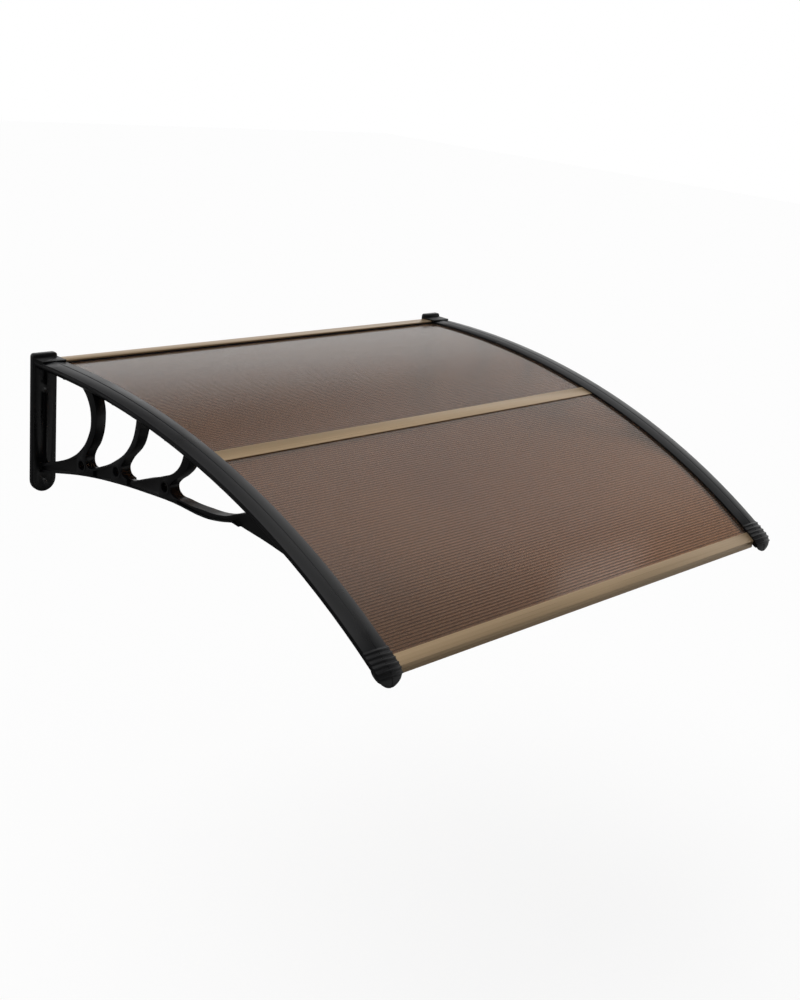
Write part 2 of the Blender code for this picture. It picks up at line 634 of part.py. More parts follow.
def ridges(side):
    """Raised ribs across the cap, each following the shallow roof and round at its ends."""
    bars = []
    half = CAP_HALF_WIDTH
    for i in range(RIDGE_COUNT):
        y, z, angle = along_nose(-RIDGE_FIRST + RIDGE_PITCH * i)
        curve = bpy.data.curves.new("ridge", 'CURVE')
        curve.dimensions = '3D'
        curve.bevel_depth = RIDGE_RADIUS
        curve.bevel_resolution = 1
        curve.use_fill_caps = True
        line = curve.splines.new('POLY')
        line.points.add(2)
        drop = ROOF_CROWN
        for knot, inward in zip(line.points, (-half + CLEARANCE, 0.0, half - CLEARANCE)):
            sink = RIDGE_SINK + (drop if inward else 0.0)
            knot.co = (across(side, inward), y + math.sin(angle) * sink, z - math.cos(angle) * sink, 1.0)
        obj = bpy.data.objects.new("ridge", curve)
        bpy.context.scene.collection.objects.link(obj)
        bars.append(solid_from_curve(obj))
    return joined("ridges", bars)


def nose_block():
    """Side view of the block behind the nose's front face, with its small hook at the bottom."""
    rear = SEAT_END + CLEARANCE
    inside = -(CAP_WALL + ROOF_CROWN) / 2
    y, z = bow(BOW_LENGTH)
    under_roof = []
    for i in range(NOSE_TURNS):
        at_y, at_z, angle = along_nose(BLOCK_TURN * i / (NOSE_TURNS - 1))
        under_roof.append((at_y - math.sin(angle) * inside, at_z + math.cos(angle) * inside))
    return [bow(rear, inside), bow(rear, -SEAT_SIDE_DROP)] + [(y - on, z - down) for on, down in BLOCK_FOOT] \
        + under_roof[::-1]


def nose_cap(side, name):
    """The ribbed cap over the front end: its roof wraps down into a half-round front face."""
    half = CAP_HALF_WIDTH - CLEARANCE
    roof = sweep("cap", roof_section(CAP_HALF_WIDTH, CAP_WALL, COVER_UNDER, SLOT_TOP), side, nose_path())
    block = slab("block", [nose_block()], across(side, -half), across(side, half))
    bars, holes = posts(side, (CAP_SCREW_AT,))
    combine(roof, [block, ridges(side), bars], 'UNION')
    end_y, end_z = bow(BOW_LENGTH)
    round_z = end_z - NOSE_DROP + NOSE_TAB_RADIUS
    middle = across(side, 0.0)
    back = bow(CAP_START)[0] + NOSE_RADIUS
    front = end_y - NOSE_RADIUS
    tab = rod("tab", NOSE_TAB_RADIUS, (middle, back, round_z), (middle, front, round_z), 36)
    upper = box("tab_upper", (middle - NOSE_TAB_RADIUS, middle + NOSE_TAB_RADIUS), (front, back),
                (round_z, CREASE_HEIGHT))
    combine(tab, [upper], 'UNION')
    combine(roof, [tab], 'INTERSECT')
    combine(roof, [holes], 'DIFFERENCE')
    return part(roof, name, BLACK, 0.40)


def twin_wall(name, start, end):
    """A bowed twin-wall sheet: two skins on upright ribs, its flutes open at both sides.

    The end view is laid out rib by rib as flat faces and then drawn out to the sheet's width.
    """
    half = ARM_SPACING / 2 + PANEL_SIDE_GRIP
    top = -PANEL_BELOW_CREASE
    under = top - PANEL_THICKNESS
    rib = FLUTE_RIB / 2
    count = round((end - start) / FLUTE_PITCH)
    pitch = (end - start - FLUTE_RIB) / count
    shape = bmesh.new()

    def corner(at, out):
        return shape.verts.new((-half, *bow(at, out)))

    last = None
    for i in range(count + 1):
        at = start + rib + pitch * i
        outer = corner(at, top), corner(at, under)
        near = corner(at - rib, top - PANEL_SKIN), corner(at - rib, under + PANEL_SKIN)
        far = corner(at + rib, top - PANEL_SKIN), corner(at + rib, under + PANEL_SKIN)
        shape.faces.new((outer[0], far[0], far[1], outer[1], near[1], near[0]))
        if last:
            for skin in (0, 1):
                shape.faces.new((last[0][skin], outer[skin], near[skin], last[1][skin]))
        last = outer, far
    bmesh.ops.recalc_face_normals(shape, faces=shape.faces)
    grown = bmesh.ops.extrude_face_region(shape, geom=shape.faces[:])
    moved = [v for v in grown["geom"] if isinstance(v, bmesh.types.BMVert)]
    bmesh.ops.translate(shape, verts=moved, vec=(half * 2, 0.0, 0.0))
    bmesh.ops.recalc_face_normals(shape, faces=shape.faces)
    mesh = bpy.data.meshes.new(name)
    shape.to_mesh(mesh)
    shape.free()
    return part(add_tool(bpy.data.objects.new(name, mesh)), name, BRONZE, 0.22)


def port_hole(at):
    """The round port for a rail's end screws, as an outline."""
    y, z = bow(at, PORT_HEIGHT)
    ring = []
    for i in range(12):
        angle = 2 * math.pi * i / 12
        ring.append((y + PORT_RADIUS * math.cos(angle), z + PORT_RADIUS * math.sin(angle)))
    return ring


def rail(name, outline, port_at, half):
    """An extruded rail, cut to the clear width between the brackets."""
    return part(slab(name, [outline, port_hole(port_at)], -half, half), name, CHAMPAGNE, 0.32, 0.85)


def rear_rail():
    """The channel at the wall: a back, a top flange with a lip over its gasket, a floor and a port."""
    back = REAR_RAIL_BACK - CREASE_START
    front = REAR_RAIL_FRONT - CREASE_START
    wall = RAIL_WALL
    low = PORT_HEIGHT - PORT_HALF
    port_back = REAR_PORT_AT - PORT_HALF
    port_front = REAR_PORT_AT + PORT_HALF
    floor = SLOT_UNDER - wall
    lip = REAR_RAIL_TOP - REAR_LIP
    outline = [bow(back, REAR_RAIL_TOP), bow(back, floor), bow(port_back, floor), bow(port_back, low),
               bow(port_front, low), bow(port_front, floor), bow(front - wall, floor),
               bow(front - wall, SLOT_UNDER), bow(back + wall, SLOT_UNDER), bow(back + wall, REAR_RAIL_TOP - wall),
               bow(front - wall, REAR_RAIL_TOP - wall), bow(front - wall, lip), bow(front, lip),
               bow(front, REAR_RAIL_TOP)]
    return rail("rear_rail", outline, REAR_PORT_AT, REAR_RAIL_HALF)


def middle_rail():
    """The H section that joins the two sheets, with a port below."""
    wall = RAIL_WALL
    top = SLOT_TOP + wall
    floor = SLOT_UNDER - wall
    middle = MIDDLE_PORT_AT
    low = PORT_HEIGHT - PORT_HALF
    outline = [bow(MIDDLE_RAIL_REAR, top), bow(MIDDLE_RAIL_REAR, SLOT_TOP), bow(middle - wall / 2, SLOT_TOP),
               bow(middle - wall / 2, SLOT_UNDER), bow(MIDDLE_RAIL_REAR + wall, SLOT_UNDER),
               bow(MIDDLE_RAIL_REAR + wall, floor), bow(middle - PORT_HALF, floor), bow(middle - PORT_HALF, low),
               bow(middle + PORT_HALF, low), bow(middle + PORT_HALF, floor), bow(MIDDLE_RAIL_FRONT - wall, floor),
               bow(MIDDLE_RAIL_FRONT - wall, SLOT_UNDER), bow(middle + wall / 2, SLOT_UNDER),
               bow(middle + wall / 2, SLOT_TOP), bow(MIDDLE_RAIL_FRONT, SLOT_TOP), bow(MIDDLE_RAIL_FRONT, top)]
    return rail("middle_rail", outline, MIDDLE_PORT_AT, MIDDLE_RAIL_HALF)


def front_rail():
    """The gutter rail: a sloping top over the sheet, an upright face with a step, and a floor."""
    wall = RAIL_WALL
    top = SLOT_TOP + wall
    low = PORT_HEIGHT - PORT_HALF
    rear = FRONT_RAIL_REAR
    port_front = rear + PORT_HALF * 2
    floor = SLOT_UNDER - wall
    brow = bow(FRONT_RAIL_BREAK, top)
    face = brow[0]
    step = FRONT_RAIL_STEP
    bottom = bow(BOW_LENGTH)[1] - FRONT_RAIL_DROP
    middle_z = (brow[1] + bottom) / 2
    inner = face + wall + step

    def level(at_y, out):
        """Z of the bow's parallel at a height, where it meets the upright face."""
        y, z = bow(BOW_LENGTH, out)
        return z + (at_y - y) * math.tan(SLOPE_AT_NOSE)

    outline = [bow(rear, top), bow(rear, SLOT_TOP), (inner, level(inner, SLOT_TOP)),
               (inner, level(inner, SLOT_UNDER)), bow(rear, SLOT_UNDER), bow(rear, low), bow(port_front, low),
               bow(port_front, floor), (inner, level(inner, floor)), (inner, bottom), (face + step, bottom),
               (face + step, middle_z - step), (face, middle_z), brow]
    return rail("front_rail", outline, FRONT_PORT_AT, FRONT_RAIL_HALF)


def rear_gasket():
    """The black strip under the rear rail's top flange that seals on the sheet."""
    top = REAR_RAIL_TOP - REAR_LIP - CLEARANCE
    under = SLOT_TOP
    front = REAR_RAIL_FRONT - CREASE_START + GASKET_PROUD
    back = front - GASKET_WIDTH
    outline = [bow(back, top), bow(back, under), bow(front, under), bow(front, top)]
    return part(slab("rear_gasket", [outline], -REAR_RAIL_HALF, REAR_RAIL_HALF), "rear_gasket", RUBBER, 0.7)


def wall_seal():
    """The rubber strip between the rear rail and the wall, in the gap that the plates leave."""
    strip = box("wall_seal", (-REAR_RAIL_HALF, REAR_RAIL_HALF), (-REAR_RAIL_BACK + CLEARANCE, 0.0),
                (-WALL_SEAL_HEIGHT / 2, WALL_SEAL_HEIGHT / 2))
    return part(strip, "wall_seal", RUBBER, 0.8)


def seat_seal(side, name):
    """The strip on a bracket's seat that the sheets lie on."""
    top = SLOT_UNDER
    under = SEAT_TOP + CLEARANCE
    run = bow_run(PANEL_REAR_EDGE, 0.0, top) + bow_run(0.0, PANEL_FRONT_EDGE, top)[1:]
    back = bow_run(PANEL_REAR_EDGE, 0.0, under) + bow_run(0.0, PANEL_FRONT_EDGE, under)[1:]
    strip = slab("seal", [run + back[::-1]], across(side, SEAL_OUTER), across(side, SEAL_INNER))
    return part(strip, name, RUBBER, 0.7)


def seat_screw(side, name, at):
    """A screw up through the seat into one of a cover's posts."""
    foot, tip = bow_axis(side, POST_ACROSS, at, SEAT_UNDER - CLEARANCE, SEAT_UNDER)
    made = screw(name, COVER_HEAD_RADIUS, COVER_SCREW_LENGTH, foot, np.subtract(tip, foot))
    return part(made, name, STEEL, 0.35, 0.9)


def rail_screw(side, name, at):
    """A screw through one of a bracket's lugs into the port of a rail."""
    y, z = bow(at, PORT_HEIGHT)
    foot = (across(side, COVER_HALF_WIDTH - LUG_THICKNESS - CLEARANCE), y, z)
    made = screw(name, RAIL_HEAD_RADIUS, RAIL_SCREW_LENGTH, foot, (-side, 0.0, 0.0))
    return part(made, name, STEEL, 0.35, 0.9)


for side, word in ((-1, "left"), (1, "right")):
    bracket(side, word + "_bracket")
    cover_strip(side, word + "_cover_strip")
    nose_cap(side, word + "_nose_cap")
    seat_seal(side, word + "_seat_seal")
    seat_screw(side, word + "_cap_screw", CAP_SCREW_AT)
    for number, at in enumerate(COVER_SCREWS_AT, 1):
        seat_screw(side, word + "_cover_screw_" + str(number), at)
    for place_name, at in zip(("rear", "middle", "front"), PORTS):
        rail_screw(side, word + "_" + place_name + "_rail_screw", at)
twin_wall("rear_panel", PANEL_REAR_EDGE, MIDDLE_PORT_AT - RAIL_WALL / 2 - CLEARANCE * 3)
twin_wall("front_panel", MIDDLE_PORT_AT + RAIL_WALL / 2 + CLEARANCE * 3, PANEL_FRONT_EDGE)
rear_rail()
middle_rail()
front_rail()
rear_gasket()
wall_seal()
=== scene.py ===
# %% [markdown]
# # A door canopy in Blender
# Two black moulded brackets hold two bronze twin-wall sheets between three champagne aluminium
# rails. The solids of every piece are already there, at their real size. This lesson gives each of
# them its finish: fine edges where a mould or a die leaves them, a sheet whose flutes show, and
# materials named for what the real ones are.

import math

import bmesh
import bpy
from mathutils import Matrix, Vector


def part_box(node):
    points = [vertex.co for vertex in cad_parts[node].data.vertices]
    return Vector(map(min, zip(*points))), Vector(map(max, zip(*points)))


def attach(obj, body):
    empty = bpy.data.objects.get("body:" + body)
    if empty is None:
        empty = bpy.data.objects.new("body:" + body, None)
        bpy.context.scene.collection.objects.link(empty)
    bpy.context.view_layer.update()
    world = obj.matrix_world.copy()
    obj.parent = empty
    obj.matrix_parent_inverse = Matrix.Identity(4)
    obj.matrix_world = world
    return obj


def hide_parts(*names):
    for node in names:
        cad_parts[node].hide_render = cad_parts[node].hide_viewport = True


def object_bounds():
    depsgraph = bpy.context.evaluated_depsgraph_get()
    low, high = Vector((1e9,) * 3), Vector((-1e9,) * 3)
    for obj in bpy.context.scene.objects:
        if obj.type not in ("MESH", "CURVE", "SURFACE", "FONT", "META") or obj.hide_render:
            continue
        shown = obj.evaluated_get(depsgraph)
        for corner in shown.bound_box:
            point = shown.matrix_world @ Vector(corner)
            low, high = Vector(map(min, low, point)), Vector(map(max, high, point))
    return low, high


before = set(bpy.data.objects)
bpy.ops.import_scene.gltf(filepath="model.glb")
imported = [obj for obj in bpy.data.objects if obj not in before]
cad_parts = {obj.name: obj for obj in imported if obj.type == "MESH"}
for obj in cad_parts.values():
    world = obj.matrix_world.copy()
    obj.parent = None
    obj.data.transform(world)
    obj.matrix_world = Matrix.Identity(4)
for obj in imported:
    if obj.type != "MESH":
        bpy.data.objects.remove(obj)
CAD_BOX = [list(corner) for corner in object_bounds()]
BODY = "root"
MM = 0.001
print("solids:", len(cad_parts), "box:", CAD_BOX)

# %% [markdown]
# ## The camera
# The canopy is seen from above, in front and to the left, with a slightly rolled camera. The camera
# could be turned by the four numbers of a quaternion, but three angles are easier to read and to
# change. Its right, up and backward directions are worked out from them, and those three are the
# columns of its matrix.

# %% Place the camera
CAMERA_PLACE = Vector((-1.6683, -1.9967, 0.5841))
CAMERA_YAW = 0.8142          # radians, from straight at the wall, turned to the right
CAMERA_PITCH = 0.3313        # looking down
CAMERA_ROLL = 0.1016
FOCAL_PIXELS = 1338.46       # in a picture that is 1000 pixels high
PICTURE_HEIGHT = 1000
SENSOR = 36.0                # mm, along the picture's longer side, which is its height

ahead = Vector((math.sin(CAMERA_YAW) * math.cos(CAMERA_PITCH),
                math.cos(CAMERA_YAW) * math.cos(CAMERA_PITCH), -math.sin(CAMERA_PITCH)))
level_right = ahead.cross(Vector((0, 0, 1))).normalized()
level_up = level_right.cross(ahead)
right = level_right * math.cos(CAMERA_ROLL) + level_up * math.sin(CAMERA_ROLL)
up = level_up * math.cos(CAMERA_ROLL) - level_right * math.sin(CAMERA_ROLL)
camera = bpy.data.objects.new("camera", bpy.data.cameras.new("camera"))
camera.data.sensor_width = SENSOR
camera.data.lens = FOCAL_PIXELS / PICTURE_HEIGHT * SENSOR
camera.matrix_world = Matrix.Translation(CAMERA_PLACE) @ Matrix((right, up, -ahead)).transposed().to_4x4()
bpy.context.scene.collection.objects.link(camera)
bpy.context.scene.camera = camera
bpy.context.scene.view_settings.view_transform = 'Standard'
print("lens", round(camera.data.lens, 2), "mm")

# %% [markdown]
# ## Helpers for materials
# Colours are written as hex values, as a paint chart gives them, and one function turns them to the
# linear values that the shader works with. Another adds a node, sets its inputs and links them, so
# that each material below reads as a list of what it is made of. The last one starts a material.

# %% Colour and node helpers


def linear(hex_colour):
    """An sRGB hex colour as linear red, green, blue and alpha."""
    parts = [int(hex_colour[i:i + 2], 16) / 255 for i in (1, 3, 5)]
    flat = [c / 12.92 if c <= 0.04045 else ((c + 0.055) / 1.055) ** 2.4 for c in parts]
    return (*flat, 1.0)


def add(tree, kind, inputs=None, stops=(), **settings):
    """Add a node; an input is given a value or a socket, a ramp its stops as places and colours."""
    node = tree.nodes.new(kind)
    for name, value in settings.items():
        setattr(node, name, value)
    for name, value in (inputs or {}).items():
        if isinstance(value, bpy.types.NodeSocket):
            tree.links.new(value, node.inputs[name])
        else:
            node.inputs[name].default_value = value
    if stops:
        elements = node.color_ramp.elements
        while len(elements) < len(stops):
            elements.new(1.0)
        for element, (at, colour) in zip(elements, stops):
            element.position = at
            element.color = linear(colour) if isinstance(colour, str) else (colour, colour, colour, 1.0)
    return node


def new_material(name):
    """An empty material with its shader; returns the material, its tree and the shader."""
    made = bpy.data.materials.new(name)
    made.use_nodes = True
    return made, made.node_tree, made.node_tree.nodes["Principled BSDF"]


WHITE = (1, 1, 1, 1)
print("a middle grey, #808080, is", round(linear("#808080")[0], 3), "in linear light")

# %% [markdown]
# ## The room
# A real product is lit by large soft sources in a room that is darker than it looks. A photographed
# room could be wrapped round the scene, but a drawn one can be changed by a number. It is dim all
# round and lighter overhead. A pale backdrop stands behind the canopy and fades out above, and it
# shows in every surface that is seen at a low angle. A soft window high on the right is mirrored as
# a pale haze in the middle of the front sheet. Rays from the camera see plain white instead, and so
# do rays through the clear sheets.

# %% Set the room
# Each stop is how high a ray points, from 0 at the horizon to 1 overhead, and the light there.
ROOM_BY_HEIGHT = ((0.0, 0.12), (0.5, 0.14), (0.74, 0.2), (1.0, 0.75))
BACKDROP_SIDE = (0.6, 0.8, 0.0)
BACKDROP_LIGHT = 0.66
BACKDROP_TOP = (0.28, 0.56)      # a ray's height where the backdrop starts to fade, and where it is gone
BACKDROP_EDGE = (-0.3, 0.7)      # how far a ray points to its side, at its edge and at its full light
WINDOW_SIDE = (0.730, 0.266, 0.629)
WINDOW_LIGHT = 0.42
WINDOW_EDGE = (0.925, 0.99)      # cosines of about 22 degrees, its edge, and 8, its full light

world = bpy.data.worlds.new("studio")
bpy.context.scene.world = world
world.use_nodes = True
sky = world.node_tree
sky.nodes.clear()
direction = add(sky, 'ShaderNodeTexCoord').outputs["Generated"]
height = add(sky, 'ShaderNodeSeparateXYZ', {"Vector": direction}).outputs["Z"]
room = add(sky, 'ShaderNodeValToRGB', {"Fac": height}, ROOM_BY_HEIGHT)
low = add(sky, 'ShaderNodeMapRange', {"Value": height, "From Min": BACKDROP_TOP[0],
                                      "From Max": BACKDROP_TOP[1], "To Min": BACKDROP_LIGHT, "To Max": 0.0},
          interpolation_type='SMOOTHSTEP')
facing = add(sky, 'ShaderNodeVectorMath', {0: direction, 1: BACKDROP_SIDE}, operation='DOT_PRODUCT')
behind = add(sky, 'ShaderNodeMapRange', {"Value": facing.outputs["Value"], "From Min": BACKDROP_EDGE[0],
                                         "From Max": BACKDROP_EDGE[1]}, interpolation_type='SMOOTHSTEP')
pale = add(sky, 'ShaderNodeMath', {0: low.outputs["Result"], 1: behind.outputs["Result"],
                                   2: room.outputs["Color"]}, operation='MULTIPLY_ADD')
toward = add(sky, 'ShaderNodeVectorMath', {0: direction, 1: WINDOW_SIDE}, operation='DOT_PRODUCT')
window = add(sky, 'ShaderNodeMapRange', {"Value": toward.outputs["Value"], "From Min": WINDOW_EDGE[0],
                                         "From Max": WINDOW_EDGE[1], "To Max": WINDOW_LIGHT},
             interpolation_type='SMOOTHSTEP')
whole = add(sky, 'ShaderNodeMath', {0: pale.outputs[0], 1: window.outputs["Result"]}, operation='ADD')
lit_room = add(sky, 'ShaderNodeBackground', {"Color": WHITE, "Strength": whole.outputs[0]})
plain_white = add(sky, 'ShaderNodeBackground', {"Color": WHITE, "Strength": 1.0})
ray = add(sky, 'ShaderNodeLightPath')
seen = add(sky, 'ShaderNodeMath', {0: ray.outputs["Is Camera Ray"], 1: ray.outputs["Is Transmission Ray"]},
           operation='MAXIMUM')
shown = add(sky, 'ShaderNodeMixShader', {0: seen.outputs[0], 1: lit_room.outputs[0],
                                         2: plain_white.outputs[0]})
add(sky, 'ShaderNodeOutputWorld', {"Surface": shown.outputs[0]})
print("room, from the horizon up:", [light for _, light in ROOM_BY_HEIGHT])

# %% [markdown]
# ## The lamps
# A wide sun from above gives the shapes their direction. It could be several area lamps, but one sun
# lights every part of the canopy alike. It is left out of reflections, where it would show as a large
# white disc. A weak soft box on the right lifts the middle of the front rail. It stays weak because
# the front sheet mirrors it too.

# %% Hang the lamps
SUN_POWER = 1.6
SUN_SPREAD = math.radians(50)
SUN_FROM = Vector((-0.25, 0.35, 1.0))
SOFT_BOX_PLACE = Vector((1.9, -1.31, 1.36))
SOFT_BOX_AIM = Vector((0.0, -0.87, -0.2))
SOFT_BOX_WIDTH = 0.8
SOFT_BOX_HEIGHT = 0.3
SOFT_BOX_POWER = 0.4


def turned_from(offset):
    """The turn of a lamp that shines from an offset towards its middle."""
    return offset.to_track_quat('Z', 'Y').to_matrix().to_4x4()


sun = bpy.data.objects.new("soft_sun", bpy.data.lights.new("soft_sun", 'SUN'))
sun.data.energy = SUN_POWER
sun.data.angle = SUN_SPREAD
sun.matrix_world = turned_from(SUN_FROM)
sun.visible_glossy = False
soft_box = bpy.data.objects.new("soft_box", bpy.data.lights.new("soft_box", 'AREA'))
soft_box.data.shape = 'RECTANGLE'
soft_box.data.size = SOFT_BOX_WIDTH
soft_box.data.size_y = SOFT_BOX_HEIGHT
soft_box.data.energy = SOFT_BOX_POWER
soft_box.matrix_world = Matrix.Translation(SOFT_BOX_PLACE) @ turned_from(SOFT_BOX_PLACE - SOFT_BOX_AIM)
for lamp in (sun, soft_box):
    bpy.context.scene.collection.objects.link(lamp)
    print("lamp", lamp.name, "power", round(lamp.data.energy, 2))

# %% [markdown]
# ## The floor
# The floor is a large sheet of studio paper well below the canopy. What a ray finds there depends on
# where it comes from. The camera sees it nearly white, with a trace of real light so that a faint
# shadow stays. Rays through the clear sheets see white too, with a painted shade close to the canopy
# that stands in for its own shadow. All other rays see grey paper whose colour holds a painted pool
# of light, paler towards the front and right and darker under the canopy, and that pale patch is what
# the low faces of the rails and strips mirror.

# %% Lay the floor
FLOOR_DROP = 0.75                # the floor lies this far below the object
FLOOR_SIZE = 30.0
# a painted pool of light in the floor's grey: the side it lies towards, its reach and its greys
PAINTED_LIGHT_SIDE = (0.6, -0.8, 0.0)
PAINTED_LIGHT_REACH = (0.6, 2.8)    # metres towards that side, where the grey starts to pale and is palest
PAINTED_LIGHT_GREYS = ((0.0, "#4c4c4c"), (1.0, "#acacac"))
OWN_WHITE = 0.88                 # the share of the camera's white that no shadow dims
# a painted shade, in place of the canopy's shadow, on the white that rays through the sheets see
SHADE_REACH = (1.3, 2.4)         # metres from the origin, where the shade starts to fade and is gone
SHADE_LIGHT = 0.25               # what is left of the white in the middle of the shade

floor_mesh = bpy.data.meshes.new("studio_floor")
shape = bmesh.new()
lowest = CAD_BOX[0][2] - FLOOR_DROP
bmesh.ops.create_grid(shape, x_segments=1, y_segments=1, size=FLOOR_SIZE / 2,
                      matrix=Matrix.Translation((0, 0, lowest)))
shape.to_mesh(floor_mesh)
shape.free()
studio_floor = bpy.data.objects.new("studio_floor", floor_mesh)
bpy.context.scene.collection.objects.link(studio_floor)
paper, tree, shader = new_material("studio_paper")
studio_floor.data.materials.append(paper)
print("floor at", round(lowest, 3))

# %% Give each kind of ray its floor
place = add(tree, 'ShaderNodeTexCoord').outputs["Object"]
# the grey paper's base colour is a painted pool of light, paler towards the front and right
towards = add(tree, 'ShaderNodeVectorMath', {0: place, 1: PAINTED_LIGHT_SIDE}, operation='DOT_PRODUCT')
painted_light_pool = add(tree, 'ShaderNodeMapRange', {"Value": towards.outputs["Value"], "From Min": PAINTED_LIGHT_REACH[0],
                                        "From Max": PAINTED_LIGHT_REACH[1]}, interpolation_type='SMOOTHSTEP')
tone = add(tree, 'ShaderNodeValToRGB', {"Fac": painted_light_pool.outputs["Result"]}, PAINTED_LIGHT_GREYS)
tree.links.new(tone.outputs["Color"], shader.inputs["Base Color"])
shader.inputs["Roughness"].default_value = 0.9
lit_white = add(tree, 'ShaderNodeBsdfDiffuse', {"Color": WHITE})
own_white = add(tree, 'ShaderNodeEmission', {"Color": WHITE, "Strength": 1.0})
for_camera = add(tree, 'ShaderNodeMixShader', {0: OWN_WHITE, 1: lit_white.outputs[0],
                                               2: own_white.outputs[0]})
# painted shade: the white seen through the sheets dims close to the canopy
away = add(tree, 'ShaderNodeVectorMath', {0: place}, operation='LENGTH')
shade = add(tree, 'ShaderNodeMapRange', {"Value": away.outputs["Value"], "From Min": SHADE_REACH[0],
                                         "From Max": SHADE_REACH[1], "To Min": SHADE_LIGHT},
            interpolation_type='SMOOTHSTEP')
through_sheets = add(tree, 'ShaderNodeEmission', {"Color": WHITE, "Strength": shade.outputs["Result"]})
ray = add(tree, 'ShaderNodeLightPath')
opaque = add(tree, 'ShaderNodeMixShader', {0: ray.outputs["Is Camera Ray"], 1: shader.outputs[0],
                                           2: for_camera.outputs[0]})
mixed = add(tree, 'ShaderNodeMixShader', {0: ray.outputs["Is Transmission Ray"], 1: opaque.outputs[0],
                                          2: through_sheets.outputs[0]})
tree.links.new(mixed.outputs[0], tree.nodes["Material Output"].inputs["Surface"])
print("made", paper.name)

# %% [markdown]
# ## Black ABS
# The brackets, cover strips and nose caps are injection-moulded ABS. The mould's surface is finely
# textured by spark erosion, so the plastic has a satin sheen with a faint grain. The real grit is
# about 0.05 mm, too fine to show here, so it is drawn at about 0.6 mm and kept very shallow. Slow
# differences in gloss come from how the plastic filled the mould. Both are noises on the object's own
# coordinates, so they lie alike on every piece without a seam.

# %% Make the moulded plastic
GRAINS_PER_METRE = 1700.0    # one each 0.6 mm
GRAIN_DEPTH = 0.04 * MM
FLOWS_PER_METRE = 14.0       # one patch of gloss each 7 cm

abs_black, tree, shader = new_material("moulded_black_abs")
place = add(tree, 'ShaderNodeTexCoord').outputs["Object"]
grit = add(tree, 'ShaderNodeTexNoise', {"Vector": place, "Scale": GRAINS_PER_METRE, "Detail": 2.0})
flow = add(tree, 'ShaderNodeTexNoise', {"Vector": place, "Scale": FLOWS_PER_METRE, "Detail": 4.0,
                                        "Distortion": 0.6})
tone = add(tree, 'ShaderNodeValToRGB', {"Fac": flow.outputs["Fac"]}, ((0.3, "#070709"), (0.7, "#0d0e11")))
gloss = add(tree, 'ShaderNodeMapRange', {"Value": flow.outputs["Fac"], "From Min": 0.3, "From Max": 0.7,
                                         "To Min": 0.26, "To Max": 0.36})
bump = add(tree, 'ShaderNodeBump', {"Height": grit.outputs["Fac"], "Strength": 0.25,
                                    "Distance": GRAIN_DEPTH})
tree.links.new(tone.outputs["Color"], shader.inputs["Base Color"])
tree.links.new(gloss.outputs["Result"], shader.inputs["Roughness"])
tree.links.new(bump.outputs["Normal"], shader.inputs["Normal"])
shader.inputs["IOR"].default_value = 1.5
print("made", abs_black.name)

# %% [markdown]
# ## Champagne anodised aluminium
# The rails are extruded, so a die has drawn fine lines along their length, and then anodised and
# dyed a pale bronze. Metal takes its colour in its reflection. The clear oxide layer on top scatters
# part of the light, so the finish isn't wholly metallic. The die lines are a noise stretched along X:
# about 0.8 mm apart across the rail and half a metre long, coarser than the real ones so that they
# show.

# %% Make the anodised aluminium
DIE_LINES_PER_METRE = (2.0, 1200.0, 1200.0)    # along the rail, and across it in both directions
DIE_LINE_DEPTH = 0.03 * MM
METAL_SHARE = 0.6

champagne, tree, shader = new_material("champagne_anodised_aluminium")
place = add(tree, 'ShaderNodeTexCoord').outputs["Object"]
stretch = add(tree, 'ShaderNodeMapping', {"Vector": place, "Scale": DIE_LINES_PER_METRE})
lines = add(tree, 'ShaderNodeTexNoise', {"Vector": stretch.outputs["Vector"], "Scale": 1.0, "Detail": 3.0})
tone = add(tree, 'ShaderNodeValToRGB', {"Fac": lines.outputs["Fac"]},
           ((0.35, "#b79c79"), (0.65, "#c3a987")))
gloss = add(tree, 'ShaderNodeMapRange', {"Value": lines.outputs["Fac"], "To Min": 0.24, "To Max": 0.36})
bump = add(tree, 'ShaderNodeBump', {"Height": lines.outputs["Fac"], "Strength": 0.2,
                                    "Distance": DIE_LINE_DEPTH})
tree.links.new(tone.outputs["Color"], shader.inputs["Base Color"])
tree.links.new(gloss.outputs["Result"], shader.inputs["Roughness"])
tree.links.new(bump.outputs["Normal"], shader.inputs["Normal"])
shader.inputs["Metallic"].default_value = METAL_SHARE
print("made", champagne.name)

# %% [markdown]
# ## Bronze polycarbonate
# The sheets are extruded polycarbonate, dyed bronze and clear: the brackets behind them show as dim
# shapes. Each sheet has two thin skins on upright ribs. Where a rib meets a skin there is more
# plastic to look through, so it shows as a darker line. The lines could be left to the modelled ribs,
# but those are thinner than a pixel here. The sheet's own UV map runs in metres, across and along the
# bow, which lets drawn lines follow it. Only the upper face has them, or the two skins' lines would
# beat against each other. Light passes the faces of both skins and a rib or two, and each takes its
# share of the colour, so the colour of a single face is pale.

# %% Make the bronze sheet
FLUTE_PITCH = 5.2 * MM
RIB_LINE = (0.23, 0.44)      # from a flute's middle, in flutes, where the line starts and is full
RIB_COLOUR = "#4c382c"
CLOUDS_PER_METRE = 3.5       # slow differences in the dye, 30 cm across

